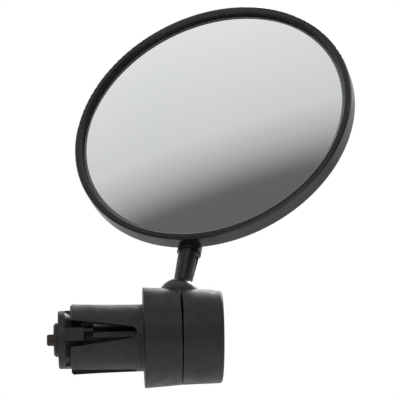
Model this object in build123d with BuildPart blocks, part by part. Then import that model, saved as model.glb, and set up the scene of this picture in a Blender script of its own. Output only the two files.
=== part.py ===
"""Bar-end bicycle mirror: an expanding plug, a two-part clamp drum, a ball arm and a round head.

Frame: the origin lies on the handlebar's axis at the shoulder that butts on the bar's end.
+X points outboard along the bar, +Z is up, on the ball's side of the drum, and -Y is towards
the rider. All sizes are in millimetres. The arm and the head are shown in their set position.
"""

import os
from math import radians, sqrt, tan

from build123d import *

os.makedirs("parts", exist_ok=True)

# ---------------------------------------------------------------- driving dimensions
# Clamp drum: the inner half carries the plug, the cap closes it from outboard.
shoulder_r = 13.1  # the drum where it butts on the bar
seam_r = 12.5  # the drum at the seam between its halves
end_r = 12.1  # the cap at its outboard end
inner_len = 9.5  # shoulder to the inner half's seam face
cap_len = 10.4
seam_gap = 0.25  # at the foot of the seam
cap_rock = 1.1  # degrees that the slack cap stands open at the ball's side
seam_relief = 0.5  # extra opening of the inner half beside the ball
seam_relief_z = 6.0  # where that opening starts
drum_round = 0.8  # the cap's outboard edge
edge_break = 0.3

# Ball joint.
ball_r = 5.7
ball_z = 9.8  # height above the plug's axis
ball_fit = 0.05  # radial clearance of the ball's seats

# Pegs that key the cap to the inner half.
peg_r = 1.2
peg_len = 3.0
peg_clear = 0.3
peg_y = 8.0
peg_z = -4.5

# Clamp screw, washer and nut (M3).
screw_r = 1.5
screw_stand_out = 1.8  # past the wedge's boss, slack
screw_head_r = 2.75
screw_head_h = 3.0
key_across_flats = 2.5
key_depth = 1.6
washer_r = 3.5
washer_t = 0.5
washer_clear = 0.1  # radial, around the screw
recess_clear = 0.25  # radial, around the washer
cap_web = 2.65  # the cap's wall between the seam and the washer
hole_clear = 0.2  # radial, around the screw
nut_across_flats = 5.5
nut_h = 2.4
thread_clear = 0.03  # radial, the nut's bore around the screw
nut_clear = 0.05

# Expanding sleeve: a solid collar and four fingers.
collar_r = 8.7
collar_len = 1.9
collar_round = 0.5
sleeve_len = 18.9  # shoulder to the finger tips
tip_r = 9.3
finger_dish = 0.12  # how hollow a finger's back is
finger_bore_r = 6.7
slot_root_w = 3.2
slot_tip_w = 7.2
tip_bevel = 0.5
mouth_bevel = 1.0
ramp_foot = 6.0  # from the tip to where the inner ramp has run out

# Screw guide inside the sleeve: a tube with a rib behind each slot. The wedge's nose slides in it.
guide_r = 4.2
guide_rib_clear = 1.1  # the ribs to the fingers' bore
guide_rib_w = 1.4
guide_gap = 0.4  # to the wedge when it is drawn right in
nose_wall = 1.1
nose_overlap = 1.0  # how far the nose stands in the guide, slack
nose_clear = 0.2

# Wedge that spreads the fingers.
wedge_gap = 1.4  # finger tips to the flange, slack
flange_step = 0.4  # the flange's rim over the cone
flange_t = 1.8
tip_face = 1.05  # a finger's flat end, between its two bevels
cone_len = 4.8
cone_angle = 22.0
wedge_clear = 0.2  # cone to the fingers' ramps
wedge_travel = 2.0  # four turns of the screw
key_side_clear = 1.2  # keys to the slots' sides, drawn in
key_drop = 0.15  # the keys' backs below the flange's rim
boss_r = 4.4
boss_t = 1.2
boss_bevel = 0.5

# Arm: its lean and twist set the head's place.
lean_back = 17.9  # degrees, from +Z towards +Y
lean_out = 13.0  # degrees, from +Z towards +X
head_twist = -20.3  # degrees, the mirror's facing about the arm
neck_len = 14.5  # ball centre to the head's boss
arm_foot_r = 2.45
arm_top_r = 2.85
tenon_r = 1.6
tenon_len = 10.5
tenon_fit = 0.05
arm_end_gap = 0.1
flute_w = 1.7
flute_depth = 0.45
flute_inset = 1.9  # flute ends from the ball and from the arm's shoulder

# Head.
head_r = 40.0
arm_depth = 5.1  # arm's axis behind the rim's front plane
rim_wall = 2.0
rim_depth = 4.3
rim_round = 0.5
lip_bevel = 0.4
dome_depth = 9.0
shell_wall = 1.7
glass_recess = 1.7
glass_t = 1.3
glass_clear = 0.1
glass_bevel = 0.35
glass_crown_r = 600.0  # the mirror's convex radius
pad_margin = 7.0  # the pad's rim to the seat's wall
pad_t = 1.0
boss_step = 0.4  # the boss over the arm
boss_reach = 1.3  # how far the boss stands out of the rim
boss_run = 13.0  # how far it runs in behind the mirror
rib_w = 1.5
rib_radii = (12.0, 24.0)

# ---------------------------------------------------------------- worked-out places
bar_axis = Axis.X
ball_x = inner_len
ball_centre = Vector(ball_x, 0, ball_z)
seat_r = ball_r + ball_fit
washer_bore_r = screw_r + washer_clear
screw_hole_r = screw_r + hole_clear
nut_bore_r = screw_r + thread_clear
recess_r = washer_r + recess_clear
seat_x = inner_len + seam_gap + cap_web  # floor of the cap's recess, under the washer
root_x = -collar_len
tip_x = -sleeve_len
slot_round_x = root_x - slot_root_w / 2
flange_x = tip_x - wedge_gap  # the flange's face towards the fingers
flange_back_x = flange_x - flange_t
boss_x = flange_back_x - boss_t
cone_x = flange_x + cone_len
cone_slope = tan(radians(cone_angle))
ramp_tip_r = tip_r - tip_bevel - tip_face - mouth_bevel  # a finger's ramp, run on to its tip
cone_base_r = ramp_tip_r - wedge_clear + wedge_gap * cone_slope
cone_tip_r = cone_base_r - cone_len * cone_slope
flange_r = cone_base_r + flange_step
nose_r = screw_hole_r + nose_wall
nose_len = wedge_travel + guide_gap + nose_overlap
guide_len = root_x - (cone_x + wedge_travel + guide_gap)
slot_angles = (0, 90, 180, 270)  # from +Y towards +Z: the slots face front, back, up and down
under_head_x = seat_x + washer_t
screw_len = under_head_x - boss_x + screw_stand_out
reach = neck_len + boss_reach + head_r  # ball centre to the head's centre line

upright = Vector(0, 0, 1).rotate(Axis.Y, lean_out).rotate(bar_axis, -lean_back)
facing = Vector(0, -1, 0).rotate(bar_axis, -lean_back)
facing = facing.rotate(Axis((0, 0, 0), upright), head_twist)
arm_axis = Axis(ball_centre, upright)
head_centre = ball_centre + upright * reach + facing * arm_depth  # on the rim's front plane
head_axis = Axis(head_centre, facing)
arm_section = Plane(origin=ball_centre, x_dir=facing, z_dir=facing.cross(upright))
head_section = Plane(origin=head_centre, x_dir=upright, z_dir=upright.cross(facing))
boss_end = neck_len
arm_shoulder = boss_end - arm_end_gap  # along the arm, from the ball's centre
boss_neck_r = arm_top_r + boss_step
boss_inner_end = reach - head_r + boss_run

cap_direction = Vector(1, 0, 0).rotate(Axis.Y, cap_rock)
cap_section = Plane(origin=(inner_len + seam_gap, 0, -seam_r), x_dir=cap_direction, z_dir=(0, -1, 0))
cap_axis = Axis(cap_section.from_local_coords((0, seam_r, 0)), cap_direction)

glass_r = head_r - rim_wall - glass_clear
seat_inner_r = head_r - 2 * rim_wall
seat_depth = glass_recess + glass_t
pad_r = seat_inner_r - pad_margin
pad_space_r = pad_r + glass_clear


def crown_rise(radius, at):
    """Height of a crowned face of this radius over its level at the glass's edge."""
    return sqrt(radius**2 - at**2) - sqrt(radius**2 - glass_r**2)


def dome_level(at):
    """Place along the head's axis of the dome's outer face."""
    fall = dome_depth - rim_depth - rim_round
    dome_r = ((head_r - rim_round) ** 2 + fall**2) / (2 * fall)
    return -dome_depth + dome_r - sqrt(dome_r**2 - at**2)


def slot_width(at_x):
    """Width of a sleeve's slot, tapering from its round root to the finger tips."""
    run = (at_x - slot_round_x) / (tip_x - slot_round_x)
    return slot_root_w + run * (slot_tip_w - slot_root_w)


def drop_behind(depth, at):
    """Place along the head's axis of a layer that lies this deep behind the glass's front."""
    return -glass_recess - depth + crown_rise(glass_crown_r, at)


# ---------------------------------------------------------------- clamp drum
# Inner half: drum, shoulder and the collar that the fingers spring from.
with BuildPart() as inner_half:
    with BuildSketch(Plane.XY):
        with BuildLine():
            Polyline(
                (root_x, 0),
                (root_x, collar_r),
                (0, collar_r),
                (0, shoulder_r),
                (inner_len, seam_r),
                (inner_len, 0),
                close=True,
            )
        make_face()
    revolve(axis=bar_axis)
    at_shoulder = inner_half.edges().filter_by(GeomType.CIRCLE).filter_by_position(bar_axis, -0.01, 0.01)
    fillet(at_shoulder.sort_by(SortBy.RADIUS)[0], collar_round)
    at_shoulder = inner_half.edges().filter_by(GeomType.CIRCLE).filter_by_position(bar_axis, -0.01, 0.01)
    fillet(at_shoulder.sort_by(SortBy.RADIUS)[-1], edge_break)
    # The seam face falls away beside the ball.
    with BuildSketch(Plane.XZ):
        with BuildLine():
            Polyline(
                (inner_len, seam_relief_z),
                (inner_len, shoulder_r),
                (inner_len - seam_relief, shoulder_r),
                close=True,
            )
        make_face()
    extrude(amount=shoulder_r, both=True, mode=Mode.SUBTRACT)
    with BuildSketch(Plane.YZ.offset(inner_len)):
        with Locations((-peg_y, peg_z), (peg_y, peg_z)):
            Circle(peg_r)
    extrude(amount=peg_len)
    with Locations(ball_centre):
        Sphere(seat_r, mode=Mode.SUBTRACT)
    # Screw guide.
    with BuildSketch(Plane.YZ.offset(root_x)):
        Circle(guide_r)
        for slot_angle in slot_angles:
            Rectangle(
                finger_bore_r - guide_rib_clear,
                guide_rib_w,
                align=(Align.MIN, Align.CENTER),
                rotation=slot_angle,
            )
    extrude(amount=-guide_len)
    with BuildSketch(Plane.YZ.offset(root_x - guide_len)):
        Circle(screw_hole_r)
    extrude(amount=guide_len + collar_len + inner_len, mode=Mode.SUBTRACT)
    with BuildSketch(Plane.YZ.offset(root_x - guide_len)):
        Circle(nose_r + nose_clear)
    extrude(amount=nose_len, mode=Mode.SUBTRACT)
inner_half.part.label = "inner_half"
export_step(inner_half.part, "parts/inner_half.step")

# Cap: it stands a little open at the ball's side until the screw is tightened.
with BuildPart() as outer_cap:
    with BuildSketch(cap_section):
        with BuildLine():
            Polyline(
                (0, seam_r),
                (0, 2 * seam_r),
                (cap_len, seam_r + end_r),
                (cap_len, seam_r),
                close=True,
            )
        make_face()
    revolve(axis=cap_axis)
    fillet(outer_cap.edges().filter_by(GeomType.CIRCLE).sort_by(bar_axis)[-1], drum_round)
    with Locations(ball_centre):
        Sphere(seat_r, mode=Mode.SUBTRACT)
    with BuildSketch(Plane.YZ.offset(inner_len)):
        Circle(screw_hole_r)
        with Locations((-peg_y, peg_z), (peg_y, peg_z)):
            Circle(peg_r + peg_clear)
    extrude(amount=peg_len + peg_clear, mode=Mode.SUBTRACT)
    with BuildSketch(Plane.YZ.offset(inner_len)):
        Circle(screw_hole_r)
    extrude(amount=cap_len, mode=Mode.SUBTRACT)
    with BuildSketch(Plane.YZ.offset(seat_x)):
        Circle(recess_r)
    extrude(amount=2 * cap_len, mode=Mode.SUBTRACT)
outer_cap.part.label = "outer_cap"
export_step(outer_cap.part, "parts/outer_cap.step")

# ---------------------------------------------------------------- screw, washer and nut
with BuildPart() as clamp_screw:
    with BuildSketch(Plane.YZ.offset(under_head_x)):
        Circle(screw_head_r)
    extrude(amount=screw_head_h)
    chamfer(clamp_screw.edges().sort_by(bar_axis)[-1], edge_break)
    with BuildSketch(Plane.YZ.offset(under_head_x)):
        Circle(screw_r)
    extrude(amount=-screw_len)
    chamfer(clamp_screw.edges().sort_by(bar_axis)[0], edge_break)
    with BuildSketch(Plane.YZ.offset(under_head_x + screw_head_h)):
        RegularPolygon(key_across_flats / 2, 6, major_radius=False)
    extrude(amount=-key_depth, mode=Mode.SUBTRACT)
clamp_screw.part.label = "clamp_screw"
export_step(clamp_screw.part, "parts/clamp_screw.step")

with BuildPart() as screw_washer:
    with BuildSketch(Plane.YZ.offset(seat_x)):
        Circle(washer_r)
        Circle(washer_bore_r, mode=Mode.SUBTRACT)
    extrude(amount=washer_t)
screw_washer.part.label = "screw_washer"
export_step(screw_washer.part, "parts/screw_washer.step")

with BuildPart() as wedge_nut:
    with BuildSketch(Plane.YZ.offset(boss_x)):
        RegularPolygon(nut_across_flats / 2, 6, major_radius=False)
        Circle(nut_bore_r, mode=Mode.SUBTRACT)
    extrude(amount=nut_h)
wedge_nut.part.label = "wedge_nut"
export_step(wedge_nut.part, "parts/wedge_nut.step")

# ---------------------------------------------------------------- wedge
with BuildPart() as wedge:
    with BuildSketch(Plane.XY):
        with BuildLine():
            Polyline(
                (boss_x, 0),
                (boss_x, boss_r - boss_bevel),
                (boss_x + boss_bevel, boss_r),
                (flange_back_x, boss_r),
                (flange_back_x, flange_r),
                (flange_x, flange_r),
                (flange_x, cone_base_r),
                (cone_x, cone_tip_r),
                (cone_x, nose_r),
                (cone_x + nose_len, nose_r),
                (cone_x + nose_len, 0),
                close=True,
            )
        make_face()
    revolve(axis=bar_axis)
    # Keys in the sleeve's slots stop the wedge from turning with the screw.
    for slot_angle in slot_angles:
        outward = Vector(0, 1, 0).rotate(bar_axis, slot_angle)
        with BuildSketch(Plane(origin=(0, 0, 0), x_dir=(1, 0, 0), z_dir=outward)):
            with Locations((flange_x + cone_len / 2, 0)):
                Rectangle(cone_len, slot_width(cone_x + wedge_travel) - 2 * key_side_clear)
        extrude(amount=flange_r - key_drop)
    with BuildSketch(Plane.YZ.offset(boss_x)):
        RegularPolygon(nut_across_flats / 2 + nut_clear, 6, major_radius=False)
    extrude(amount=nut_h, mode=Mode.SUBTRACT)
    with BuildSketch(Plane.YZ.offset(boss_x)):
        Circle(screw_hole_r)
    extrude(amount=cone_x + nose_len - boss_x, mode=Mode.SUBTRACT)
    flange_rim = wedge.edges().filter_by(GeomType.CIRCLE).filter_by_position(
        bar_axis, flange_back_x - 0.01, flange_back_x + 0.01
    )
    chamfer(flange_rim.sort_by(SortBy.RADIUS)[-1], edge_break)
wedge.part.label = "wedge"
export_step(wedge.part, "parts/wedge.step")

# ---------------------------------------------------------------- the sleeve's fingers
# Each finger is a quarter of the sleeve between two tapered slots. Its ramp, inside the tip,
# rides on the wedge's cone.
ramp_crest_x = cone_x - edge_break
ramp_crest_r = ramp_tip_r - (ramp_crest_x - tip_x) * cone_slope


def make_finger(name, middle_angle):
    """One finger, centred on this angle from +Y towards +Z."""
    start = Vector(0, 1, 0).rotate(bar_axis, middle_angle - 45)
    with BuildPart() as finger:
        with BuildSketch(Plane(origin=(0, 0, 0), x_dir=(1, 0, 0), z_dir=Vector(1, 0, 0).cross(start))):
            with BuildLine():
                ThreePointArc(
                    (root_x, collar_r),
                    ((root_x + tip_x) / 2, (collar_r + tip_r) / 2 - finger_dish),
                    (tip_x + tip_bevel, tip_r),
                )
                Polyline(
                    (tip_x + tip_bevel, tip_r),
                    (tip_x, tip_r - tip_bevel),
                    (tip_x, ramp_tip_r + mouth_bevel),
                    (tip_x + mouth_bevel, ramp_tip_r - mouth_bevel * cone_slope),
                    (ramp_crest_x, ramp_crest_r),
                    (tip_x + ramp_foot, finger_bore_r),
                    (root_x, finger_bore_r),
                    (root_x, collar_r),
                )
            make_face()
        revolve(axis=bar_axis, revolution_arc=90)
        for side in (-45, 45):
            outward = Vector(0, 1, 0).rotate(bar_axis, middle_angle + side)
            with BuildSketch(Plane(origin=(0, 0, 0), x_dir=(1, 0, 0), z_dir=outward)):
                with BuildLine():
                    Polyline(
                        (slot_round_x, slot_root_w / 2),
                        (tip_x, slot_tip_w / 2),
                        (tip_x, -slot_tip_w / 2),
                        (slot_round_x, -slot_root_w / 2),
                    )
                    ThreePointArc(
                        (slot_round_x, -slot_root_w / 2), (root_x, 0), (slot_round_x, slot_root_w / 2)
                    )
                make_face()
            extrude(amount=2 * tip_r, mode=Mode.SUBTRACT)
    finger.part.label = name
    export_step(finger.part, f"parts/{name}.step")


finger_places = {
    "finger_back_upper": 45,
    "finger_front_upper": 135,
    "finger_front_lower": 225,
    "finger_back_lower": 315,
}
for finger_name, finger_angle in finger_places.items():
    make_finger(finger_name, finger_angle)

# ---------------------------------------------------------------- ball and arm
with BuildPart() as ball:
    with Locations(ball_centre):
        Sphere(ball_r)
ball.part.label = "ball"
export_step(ball.part, "parts/ball.step")

# The arm's hollow foot fits the ball, and its tenon plugs into the head's boss.
with BuildPart() as arm:
    with BuildSketch(arm_section):
        with BuildLine():
            Polyline(
                (0, 0),
                (arm_foot_r, 0),
                (arm_foot_r, ball_r),
                (arm_top_r, arm_shoulder),
                (tenon_r, arm_shoulder),
                (tenon_r, boss_end + tenon_len),
                (0, boss_end + tenon_len),
                close=True,
            )
        make_face()
    revolve(axis=arm_axis)
    with Locations(ball_centre):
        Sphere(seat_r, mode=Mode.SUBTRACT)
    # A round-ended flute runs down each side.
    flute_from = ball_r + flute_inset
    flute_len = arm_shoulder - flute_inset / 2 - flute_from
    sideways = facing.cross(upright)
    for side in (-1, 1):
        flute_origin = ball_centre + upright * (flute_from + flute_len / 2) + sideways * side * arm_top_r
        with BuildSketch(Plane(origin=flute_origin, x_dir=upright, z_dir=sideways * side)):
            SlotOverall(flute_len, flute_w)
        extrude(amount=-flute_depth, mode=Mode.SUBTRACT)
arm.part.label = "arm"
export_step(arm.part, "parts/arm.step")

# ---------------------------------------------------------------- head
# Shell: rim, side wall, shallow dome and the boss for the arm, in one moulding.
with BuildPart() as back_shell:
    with BuildSketch(head_section):
        with BuildLine():
            Polyline(
                (0, -dome_depth + shell_wall),
                (0, -dome_depth),
            )
            ThreePointArc(
                (0, -dome_depth),
                (head_r / 2, dome_level(head_r / 2)),
                (head_r - rim_round, -rim_depth - rim_round),
            )
            Polyline(
                (head_r - rim_round, -rim_depth - rim_round),
                (head_r, -rim_depth),
                (head_r, -rim_round),
            )
            RadiusArc((head_r, -rim_round), (head_r - rim_round, 0), -rim_round)
            Polyline(
                (head_r - rim_round, 0),
                (head_r - rim_wall + lip_bevel, 0),
                (head_r - rim_wall, -lip_bevel),
                (head_r - rim_wall, -seat_depth),
                (seat_inner_r, -seat_depth),
                (seat_inner_r, dome_level(seat_inner_r) + shell_wall),
            )
            ThreePointArc(
                (seat_inner_r, dome_level(seat_inner_r) + shell_wall),
                (head_r / 2, dome_level(head_r / 2) + shell_wall),
                (0, -dome_depth + shell_wall),
            )
        make_face()
    revolve(axis=head_axis)
    # Ring ribs carry the pad.
    for rib_r in rib_radii:
        rib_foot = dome_level(rib_r) + shell_wall / 2
        with BuildSketch(Plane(origin=head_centre + facing * rib_foot, z_dir=facing)):
            Circle(rib_r + rib_w / 2)
            Circle(rib_r - rib_w / 2, mode=Mode.SUBTRACT)
        extrude(amount=-rib_foot - glass_recess)
    # Boss: round, standing out of the rim and fading out under the dome.
    with BuildSketch(arm_section):
        with BuildLine():
            Polyline(
                (0, boss_end),
                (boss_neck_r, boss_end),
                (boss_neck_r, boss_inner_end - boss_neck_r),
            )
            RadiusArc((boss_neck_r, boss_inner_end - boss_neck_r), (0, boss_inner_end), -boss_neck_r)
            Polyline((0, boss_inner_end), (0, boss_end))
        make_face()
    revolve(axis=arm_axis)
    # Clear the mirror's own space in front of the seat and the pad's space behind it.
    with BuildSketch(head_section):
        with BuildLine():
            Polyline(
                (0, drop_behind(glass_t + pad_t, 0)),
                (0, rim_depth),
                (head_r - rim_wall, rim_depth),
                (head_r - rim_wall, -seat_depth),
                (pad_space_r, -seat_depth),
                (pad_space_r, drop_behind(glass_t + pad_t, pad_space_r)),
            )
            ThreePointArc(
                (pad_space_r, drop_behind(glass_t + pad_t, pad_space_r)),
                (pad_r / 2, drop_behind(glass_t + pad_t, pad_r / 2)),
                (0, drop_behind(glass_t + pad_t, 0)),
            )
        make_face()
    revolve(axis=head_axis, mode=Mode.SUBTRACT)
    # Socket for the arm's tenon.
    with BuildSketch(Plane(origin=ball_centre + upright * boss_end, z_dir=upright)):
        Circle(tenon_r + tenon_fit)
    extrude(amount=tenon_len + tenon_fit, mode=Mode.SUBTRACT)
back_shell.part.label = "back_shell"
export_step(back_shell.part, "parts/back_shell.step")

# Mirror: a convex disc with a ground edge, silvered behind.
with BuildPart() as mirror_glass:
    with BuildSketch(head_section):
        with BuildLine():
            ThreePointArc(
                (0, drop_behind(0, 0)),
                (glass_r / 2, drop_behind(0, glass_r / 2)),
                (glass_r - glass_bevel, drop_behind(0, glass_r - glass_bevel)),
            )
            Polyline(
                (glass_r - glass_bevel, drop_behind(0, glass_r - glass_bevel)),
                (glass_r, -glass_recess - glass_bevel),
                (glass_r, -seat_depth),
            )
            ThreePointArc(
                (glass_r, -seat_depth),
                (glass_r / 2, drop_behind(glass_t, glass_r / 2)),
                (0, drop_behind(glass_t, 0)),
            )
            Line((0, drop_behind(glass_t, 0)), (0, drop_behind(0, 0)))
        make_face()
    revolve(axis=head_axis)
mirror_glass.part.label = "mirror_glass"
export_step(mirror_glass.part, "parts/mirror_glass.step")

# Foam pad: sticky on both sides, it holds the mirror to the shell's ribs.
with BuildPart() as foam_pad:
    with BuildSketch(head_section):
        with BuildLine():
            ThreePointArc(
                (0, drop_behind(glass_t, 0)),
                (pad_r / 2, drop_behind(glass_t, pad_r / 2)),
                (pad_r, drop_behind(glass_t, pad_r)),
            )
            Line((pad_r, drop_behind(glass_t, pad_r)), (pad_r, drop_behind(glass_t + pad_t, pad_r)))
            ThreePointArc(
                (pad_r, drop_behind(glass_t + pad_t, pad_r)),
                (pad_r / 2, drop_behind(glass_t + pad_t, pad_r / 2)),
                (0, drop_behind(glass_t + pad_t, 0)),
            )
            Line((0, drop_behind(glass_t + pad_t, 0)), (0, drop_behind(glass_t, 0)))
        make_face()
    revolve(axis=head_axis)
foam_pad.part.label = "foam_pad"
export_step(foam_pad.part, "parts/foam_pad.step")
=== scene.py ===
"""Looks of the bar-end bicycle mirror: finishes for every piece, the light and the camera."""

from math import cos, pi, radians, sin, sqrt

import bmesh
import bpy
import numpy as np
from mathutils import Matrix, Vector


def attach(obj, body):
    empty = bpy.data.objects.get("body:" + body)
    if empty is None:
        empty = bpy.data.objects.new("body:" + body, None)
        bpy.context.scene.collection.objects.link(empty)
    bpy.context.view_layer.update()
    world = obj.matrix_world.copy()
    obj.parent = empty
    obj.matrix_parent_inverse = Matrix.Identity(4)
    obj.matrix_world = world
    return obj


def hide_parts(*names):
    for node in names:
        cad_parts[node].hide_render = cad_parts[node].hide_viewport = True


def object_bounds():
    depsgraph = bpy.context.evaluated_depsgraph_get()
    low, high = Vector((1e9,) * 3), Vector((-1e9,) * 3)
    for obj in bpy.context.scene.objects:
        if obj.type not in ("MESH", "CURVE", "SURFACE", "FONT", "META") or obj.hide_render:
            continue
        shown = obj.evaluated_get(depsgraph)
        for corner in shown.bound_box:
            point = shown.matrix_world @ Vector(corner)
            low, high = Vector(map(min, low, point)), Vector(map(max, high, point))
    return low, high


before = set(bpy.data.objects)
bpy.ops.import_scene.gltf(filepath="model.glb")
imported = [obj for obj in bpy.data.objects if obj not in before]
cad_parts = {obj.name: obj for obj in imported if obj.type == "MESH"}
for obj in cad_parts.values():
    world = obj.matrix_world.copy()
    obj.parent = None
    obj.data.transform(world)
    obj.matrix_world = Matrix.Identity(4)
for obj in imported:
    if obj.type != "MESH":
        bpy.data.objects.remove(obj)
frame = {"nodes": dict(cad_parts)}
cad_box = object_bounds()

nodes = frame["nodes"]

# ---------------------------------------------------------------- camera
CAMERA_AZIMUTH = radians(-3.226)
CAMERA_ELEVATION = radians(-15.0)
CAMERA_ROLL = radians(-2.149)
CAMERA_DISTANCE = 0.5
CAMERA_TARGET = Vector((0.0160, 0.0, 0.03674))
CAMERA_LENS = 169.43  # mm, on a sensor 36 mm wide


def add_camera():
    """The photograph's view: slightly from inboard and from below, tipped a little."""
    back = Vector((
        sin(CAMERA_AZIMUTH) * cos(CAMERA_ELEVATION),
        -cos(CAMERA_AZIMUTH) * cos(CAMERA_ELEVATION),
        sin(CAMERA_ELEVATION),
    ))
    level = Vector((cos(CAMERA_AZIMUTH), sin(CAMERA_AZIMUTH), 0))
    above = back.cross(level)
    right = level * cos(CAMERA_ROLL) + above * sin(CAMERA_ROLL)
    up = back.cross(right)
    camera = bpy.data.objects.new("camera", bpy.data.cameras.new("camera"))
    bpy.context.scene.collection.objects.link(camera)
    camera.data.lens = CAMERA_LENS
    camera.data.clip_start = 0.01
    turn = Matrix((right, up, back)).transposed()
    camera.matrix_world = Matrix.LocRotScale(CAMERA_TARGET + back * CAMERA_DISTANCE, turn, None)
    bpy.context.scene.camera = camera


# ---------------------------------------------------------------- materials
class Nodes:
    """A material's node tree with short names for what repeats."""

    def __init__(self, name):
        self.material = bpy.data.materials.new(name)
        self.material.use_nodes = True
        self.tree = self.material.node_tree
        self.shader = self.tree.nodes["Principled BSDF"]
        coordinates = self.tree.nodes.new("ShaderNodeTexCoord")
        self.place = coordinates.outputs["Object"]

    def link(self, source, target):
        self.tree.links.new(source, target)

    def noise(self, scale, detail=2.0, roughness=0.5, place=None):
        node = self.tree.nodes.new("ShaderNodeTexNoise")
        node.inputs["Scale"].default_value = scale
        node.inputs["Detail"].default_value = detail
        node.inputs["Roughness"].default_value = roughness
        self.link(place or self.place, node.inputs["Vector"])
        return node.outputs["Fac"]

    def ramp(self, source, stops):
        node = self.tree.nodes.new("ShaderNodeValToRGB")
        elements = node.color_ramp.elements
        while len(elements) < len(stops):
            elements.new(0.5)
        for element, (at, colour) in zip(elements, stops):
            element.position = at
            element.color = (*colour, 1) if isinstance(colour, tuple) else (colour, colour, colour, 1)
        self.link(source, node.inputs["Fac"])
        return node.outputs["Color"]

    def bump(self, height, strength, distance, after=None):
        node = self.tree.nodes.new("ShaderNodeBump")
        node.inputs["Strength"].default_value = strength
        node.inputs["Distance"].default_value = distance
        self.link(height, node.inputs["Height"])
        if after:
            self.link(after, node.inputs["Normal"])
        return node.outputs["Normal"]


def moulded_plastic(name, dark, light, rough_low, rough_high, grain):
    """Black moulded plastic: fine spark-eroded grain, faint flow marks and a little handling shine."""
    nodes = Nodes(name)
    cloud = nodes.noise(140, detail=4.0)
    nodes.link(nodes.ramp(cloud, [(0.35, dark), (0.7, light)]), nodes.shader.inputs["Base Color"])
    handled = nodes.noise(320, detail=3.0)
    rough = nodes.ramp(handled, [(0.3, rough_low), (0.7, rough_high)])
    nodes.link(rough, nodes.shader.inputs["Roughness"])
    nodes.shader.inputs["Specular IOR Level"].default_value = 0.45
    fine = nodes.noise(4200, detail=2.0)
    nodes.link(nodes.bump(fine, grain, 0.00004), nodes.shader.inputs["Normal"])
    return nodes.material


def silvered_glass():
    """The mirror's face: a silvered sheet with the faint haze of handling."""
    nodes = Nodes("silvered_glass")
    tint = nodes.noise(25, detail=3.0)
    colours = [(0.3, (0.85, 0.87, 0.875)), (0.7, (0.89, 0.90, 0.90))]
    nodes.link(nodes.ramp(tint, colours), nodes.shader.inputs["Base Color"])
    nodes.shader.inputs["Metallic"].default_value = 1.0
    haze = nodes.noise(60, detail=5.0)
    nodes.link(nodes.ramp(haze, [(0.3, 0.03), (0.8, 0.06)]), nodes.shader.inputs["Roughness"])
    return nodes.material


def ground_glass_painted_highlight():
    """The mirror's ground edge: pale frosted glass, made paler as a painted highlight, with the grey of the
    wheel's marks.
    """
    nodes = Nodes("ground_glass_painted_highlight")
    marks = nodes.noise(1800, detail=3.0)
    # the light end of this grey is a painted highlight on top of the frosted edge's own pale tone; the
    # spread between the two greys is the wheel's marks
    colours = [(0.3, (0.30, 0.32, 0.32)), (0.7, (0.62, 0.65, 0.65))]
    nodes.link(nodes.ramp(marks, colours), nodes.shader.inputs["Base Color"])
    nodes.shader.inputs["Roughness"].default_value = 0.35
    nodes.shader.inputs["Metallic"].default_value = 0.4
    return nodes.material


def worn_steel(name, colour, dark_colour, rough):
    """Steel with stains and wear in two tones."""
    nodes = Nodes(name)
    stain = nodes.noise(900, detail=4.0)
    nodes.link(nodes.ramp(stain, [(0.35, dark_colour), (0.7, colour)]), nodes.shader.inputs["Base Color"])
    nodes.shader.inputs["Metallic"].default_value = 1.0
    wear = nodes.noise(2500, detail=3.0)
    nodes.link(nodes.ramp(wear, [(0.3, rough), (0.7, rough + 0.15)]), nodes.shader.inputs["Roughness"])
    return nodes.material


def dark_foam():
    """Closed-cell foam."""
    nodes = Nodes("dark_foam")
    nodes.shader.inputs["Roughness"].default_value = 0.95
    cells = nodes.noise(2600, detail=1.0)
    nodes.link(nodes.ramp(cells, [(0.4, 0.01), (0.6, 0.03)]), nodes.shader.inputs["Base Color"])
    nodes.link(nodes.bump(cells, 0.6, 0.0001), nodes.shader.inputs["Normal"])
    return nodes.material


# ---------------------------------------------------------------- mirror
CROWN_RADIUS = 0.600
GROUND_EDGE = 0.0009  # width of the ground bevel
GROUND_DROP = 0.0005
SHEET = 0.0013  # thickness of the glass
RINGS = 24
SIDES = 192
RIM_BAND = 0.0001  # how near to the largest radius a point counts as on the rim
SHARP_ANGLE = radians(15)


def plate_axes(name):
    """Middle, outward direction, radius and the rim's rear level of a round plate, measured on its mesh."""
    points = np.array([vertex.co[:] for vertex in nodes[name].data.vertices])
    middle = (points.max(axis=0) + points.min(axis=0)) / 2
    away = points - middle
    facing = np.linalg.svd(away, full_matrices=False)[2][2]
    facing *= -1 if facing[1] > 0 else 1
    along = away @ facing
    out = np.sqrt((away**2).sum(axis=1) - along**2)
    rim = out > out.max() - RIM_BAND
    return Vector(middle), Vector(facing), float(out.max()), float(along[rim].min())


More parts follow.
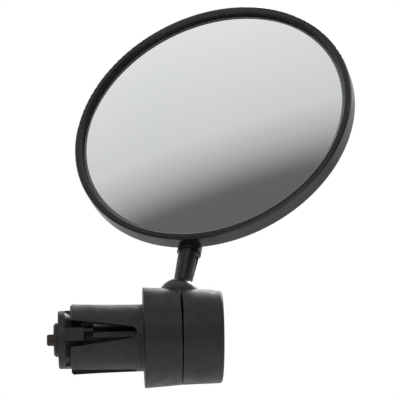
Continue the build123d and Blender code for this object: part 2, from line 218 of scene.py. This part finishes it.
def make_mirror():
    """A crowned sheet of mirror glass in fine rings, with a ground bevel round its rim."""
    middle, facing, radius, back = plate_axes("mirror_glass")
    side = facing.orthogonal().normalized()
    across = facing.cross(side)
    front = back + SHEET  # the front's level at the rim
    flat_r = radius - GROUND_EDGE

    def rise(at):
        return sqrt(CROWN_RADIUS**2 - at**2) - sqrt(CROWN_RADIUS**2 - radius**2)

    def crowned(level, edge_r, rings):
        radii = [edge_r * ring / RINGS for ring in rings]
        return [(at, level + rise(at)) for at in radii]

    profile = crowned(front, flat_r, range(1, RINGS + 1))
    profile += [(radius, front - GROUND_DROP), (radius, back)]
    profile += crowned(back, radius, range(RINGS - 1, 0, -1))
    turns = [2 * pi * step / SIDES for step in range(SIDES)]
    mesh = bmesh.new()
    front_tip = mesh.verts.new(middle + facing * (front + rise(0)))
    back_tip = mesh.verts.new(middle + facing * (back + rise(0)))
    loops = [
        [
            mesh.verts.new(middle + facing * level + (side * cos(turn) + across * sin(turn)) * out)
            for turn in turns
        ]
        for out, level in profile
    ]
    for step in range(SIDES):
        after = (step + 1) % SIDES
        mesh.faces.new((front_tip, loops[0][step], loops[0][after]))
        mesh.faces.new((back_tip, loops[-1][after], loops[-1][step]))
        for ring, (inner, outer) in enumerate(zip(loops, loops[1:])):
            face = mesh.faces.new((inner[step], outer[step], outer[after], inner[after]))
            face.material_index = 1 if ring >= RINGS - 1 else 0
    bmesh.ops.recalc_face_normals(mesh, faces=mesh.faces)
    data = bpy.data.meshes.new("mirror_sheet")
    mesh.to_mesh(data)
    mesh.free()
    data.polygons.foreach_set("use_smooth", [True] * len(data.polygons))
    data.set_sharp_from_angle(angle=SHARP_ANGLE)
    piece = bpy.data.objects.new("mirror_sheet", data)
    bpy.context.scene.collection.objects.link(piece)
    data.materials.append(silvered_glass())
    data.materials.append(ground_glass_painted_highlight())
    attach(piece, "head")
    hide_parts("mirror_glass")


# ---------------------------------------------------------------- finishes
def finish_nodes():
    """Give every CAD node its material; the nodes that aren't named are the drum's plastic."""
    drum = moulded_plastic("drum_plastic", 0.004, 0.009, 0.40, 0.60, 1.0)
    arm = moulded_plastic("arm_plastic_finish", 0.004, 0.008, 0.26, 0.38, 0.5)
    shell = moulded_plastic("shell_plastic_finish", 0.005, 0.010, 0.20, 0.32, 0.5)
    finishes = {
        "inner_half": drum,
        "outer_cap": drum,
        "wedge": moulded_plastic("wedge_plastic", 0.002, 0.005, 0.45, 0.6, 0.6),
        "ball": arm,
        "arm": arm,
        "back_shell": shell,
        "mirror_glass": silvered_glass(),
        "foam_pad": dark_foam(),
        "clamp_screw": worn_steel("oiled_steel", (0.075, 0.066, 0.058), (0.03, 0.026, 0.022), 0.45),
        "screw_washer": worn_steel("plated_washer", (0.55, 0.55, 0.53), (0.35, 0.34, 0.32), 0.3),
        "wedge_nut": worn_steel("plated_nut", (0.55, 0.55, 0.53), (0.35, 0.34, 0.32), 0.3),
    }
    for name, node in nodes.items():
        finish = finishes.get(name, drum)
        for slot in node.material_slots:
            slot.material = finish


# ---------------------------------------------------------------- surroundings
FLOOR_DROP = 0.30  # below the object's lowest point
FLOOR_SIZE = 6.0


def add_floor():
    """A plain pale floor."""
    low = cad_box[0]
    bpy.ops.mesh.primitive_plane_add(size=FLOOR_SIZE, location=(0, 0, low.z - FLOOR_DROP))
    floor = bpy.context.object
    floor.name = "floor"
    material = bpy.data.materials.new("pale_floor")
    material.use_nodes = True
    shader = material.node_tree.nodes["Principled BSDF"]
    shader.inputs["Base Color"].default_value = (0.9, 0.9, 0.9, 1)
    shader.inputs["Roughness"].default_value = 0.9
    floor.data.materials.append(material)


# The studio is bright on one side and grey on the other, and the mirror shows where the two meet.
BRIGHT_TOWARDS = Vector((0.184, 0.855, 0.485)).normalized()
# Place across the studio, from 0 on the grey side to 1 on the bright side, and the level there.
BRIGHTNESS = ((0.458, 0.13), (0.484, 0.48), (0.508, 0.70), (0.61, 0.86))


def light_world():
    """A pale studio: bright behind and above the object, grey behind the camera, white to camera rays."""
    world = bpy.data.worlds.new("studio")
    bpy.context.scene.world = world
    world.use_nodes = True
    tree = world.node_tree
    tree.nodes.clear()
    coordinates = tree.nodes.new("ShaderNodeTexCoord")
    towards = tree.nodes.new("ShaderNodeVectorMath")
    towards.operation = "DOT_PRODUCT"
    towards.inputs[1].default_value = BRIGHT_TOWARDS
    tree.links.new(coordinates.outputs["Generated"], towards.inputs[0])
    place = tree.nodes.new("ShaderNodeMath")
    place.operation = "MULTIPLY_ADD"
    place.inputs[1].default_value = 0.5
    place.inputs[2].default_value = 0.5
    tree.links.new(towards.outputs["Value"], place.inputs[0])
    ramp = tree.nodes.new("ShaderNodeValToRGB")
    elements = ramp.color_ramp.elements
    while len(elements) < len(BRIGHTNESS):
        elements.new(0.5)
    for element, (at, level) in zip(elements, BRIGHTNESS):
        element.position = at
        element.color = (level, level, level, 1)
    tree.links.new(place.outputs["Value"], ramp.inputs["Fac"])
    studio = tree.nodes.new("ShaderNodeBackground")
    tree.links.new(ramp.outputs["Color"], studio.inputs["Color"])
    white = tree.nodes.new("ShaderNodeBackground")
    white.inputs["Color"].default_value = (1, 1, 1, 1)
    path = tree.nodes.new("ShaderNodeLightPath")
    mix = tree.nodes.new("ShaderNodeMixShader")
    tree.links.new(path.outputs["Is Camera Ray"], mix.inputs["Fac"])
    tree.links.new(studio.outputs[0], mix.inputs[1])
    tree.links.new(white.outputs[0], mix.inputs[2])
    output = tree.nodes.new("ShaderNodeOutputWorld")
    tree.links.new(mix.outputs[0], output.inputs[0])


# Each lamp's place from the object's middle, its size in metres and its power in watts.
LAMPS = {
    "key": ((-0.15, -0.75, 0.35), 0.45, 1.7),
    "fill_below": ((0.35, -0.45, -0.55), 0.30, 1.6),
    "rim_light": ((0.25, 0.60, 0.55), 0.40, 6.0),
}


def add_lamp(name, place, aim, size, power):
    """A square area lamp at one place, turned towards another."""
    lamp = bpy.data.objects.new(name, bpy.data.lights.new(name, "AREA"))
    lamp.data.size = size
    lamp.data.energy = power
    lamp.location = place
    lamp.rotation_euler = (aim - place).to_track_quat("-Z", "Y").to_euler()
    bpy.context.scene.collection.objects.link(lamp)


def light_object():
    """Three soft lamps round the object."""
    low, high = cad_box
    middle = (low + high) / 2
    for name, (away, size, power) in LAMPS.items():
        add_lamp(name, middle + Vector(away), middle, size, power)


add_camera()
finish_nodes()
make_mirror()
add_floor()
light_world()
light_object()

bpy.context.scene.view_settings.view_transform = "Standard"
